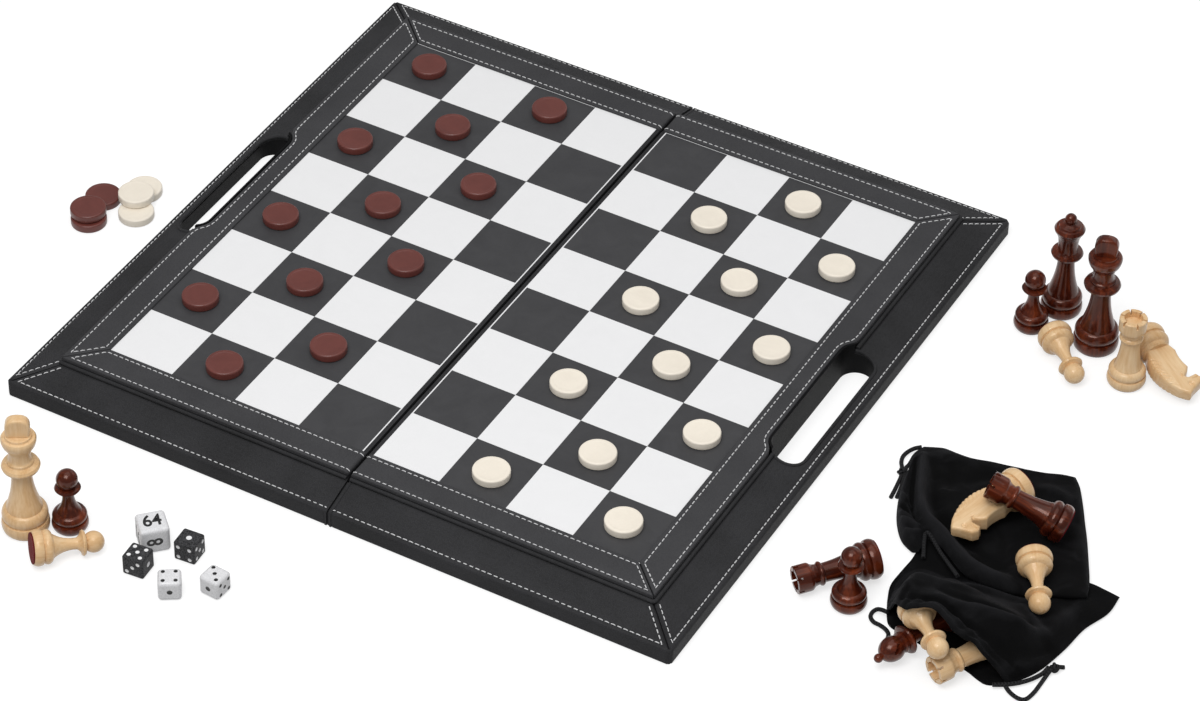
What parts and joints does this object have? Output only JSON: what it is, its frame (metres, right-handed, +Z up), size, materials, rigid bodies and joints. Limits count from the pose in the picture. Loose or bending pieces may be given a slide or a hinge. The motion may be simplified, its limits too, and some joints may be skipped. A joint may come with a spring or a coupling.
{
  "type": "games_compendium_box",
  "caption": "Folding leatherette games case, chess side up, with draughtsmen set out, dice, turned wooden chess pieces and two drawstring bags beside it",
  "frame": {"origin": "on the table, at the middle of the fold between the two halves", "axes": "+X across the fold to the right-hand half, +Y along the fold to the far end, +Z up"},
  "size_m": [0.6109, 0.4819, 0.072],
  "materials": {
    "leatherette": "fine-grained black leatherette with a soft sheen and white stitching",
    "frame_timber": "plain pale board, covered on both faces",
    "wrapped_rail": "timber wrapped in black leatherette",
    "field_black": "printed vinyl sheet, satin",
    "field_white": "white print on the sheet, satin",
    "magnet_steel": "plated disc magnets",
    "brown_resin": "satin moulded resin",
    "cream_resin": "satin moulded resin",
    "white_resin": "smooth white dice with black marks",
    "black_resin": "smooth black dice with white pips",
    "natural_wood": "lacquered pale boxwood",
    "dark_wood": "glossy red-brown stained wood",
    "red_felt": "dark red felt",
    "velvet": "black velvet with a soft nap",
    "bag_cord": "thin braided black cord"
  },
  "bodies": {
    "left_half": {"left_fold_rail": "wrapped_rail", "left_side_rail": "wrapped_rail", "left_far_rail": "wrapped_rail", "left_near_rail": "wrapped_rail", "left_board_panel": "frame_timber", "left_chess_field": "field_black", "left_light_squares": "field_white", "left_backgammon_sheet": "leatherette", "left_backgammon_points": "field_white", "left_far_strip": "leatherette", "left_side_strip": "leatherette", "left_near_strip": "leatherette", "left_far_skirt": "leatherette", "left_side_skirt": "leatherette", "left_near_skirt": "leatherette", "left_spine_cover": "leatherette", "left_slot_lining": "leatherette", "left_magnets": "magnet_steel", "left_hinge_flap": "leatherette", "brown_men": "brown_resin", "spare_brown_men": "brown_resin", "spare_cream_men": "cream_resin", "white_dice": "white_resin", "black_dice": "black_resin", "doubling_cube": "white_resin", "natural_king": "natural_wood", "natural_rooks": "natural_wood", "natural_knights": "natural_wood", "natural_pawns": "natural_wood", "dark_king": "dark_wood", "dark_queen": "dark_wood", "dark_bishop": "dark_wood", "dark_rooks": "dark_wood", "dark_pawns": "dark_wood", "base_felts": "red_felt", "upper_bag": "velvet", "lower_bag": "velvet", "upper_bag_cord": "bag_cord", "lower_bag_left_cord": "bag_cord", "lower_bag_right_cord": "bag_cord"},
    "right_half": {"right_fold_rail": "wrapped_rail", "right_side_rail": "wrapped_rail", "right_far_rail": "wrapped_rail", "right_near_rail": "wrapped_rail", "right_board_panel": "frame_timber", "right_chess_field": "field_black", "right_light_squares": "field_white", "right_backgammon_sheet": "leatherette", "right_backgammon_points": "field_white", "right_far_strip": "leatherette", "right_side_strip": "leatherette", "right_near_strip": "leatherette", "right_far_skirt": "leatherette", "right_side_skirt": "leatherette", "right_near_skirt": "leatherette", "right_spine_cover": "leatherette", "right_slot_lining": "leatherette", "right_magnets": "magnet_steel", "right_hinge_flap": "leatherette", "cream_men": "cream_resin"}
  },
  "joints": [
    {"name": "fold", "type": "hinge", "parent": "left_half", "child": "right_half", "pos_m": [0, 0, 0], "axis": [0, 1, 0], "range_deg": [0, 180]}
  ]
}
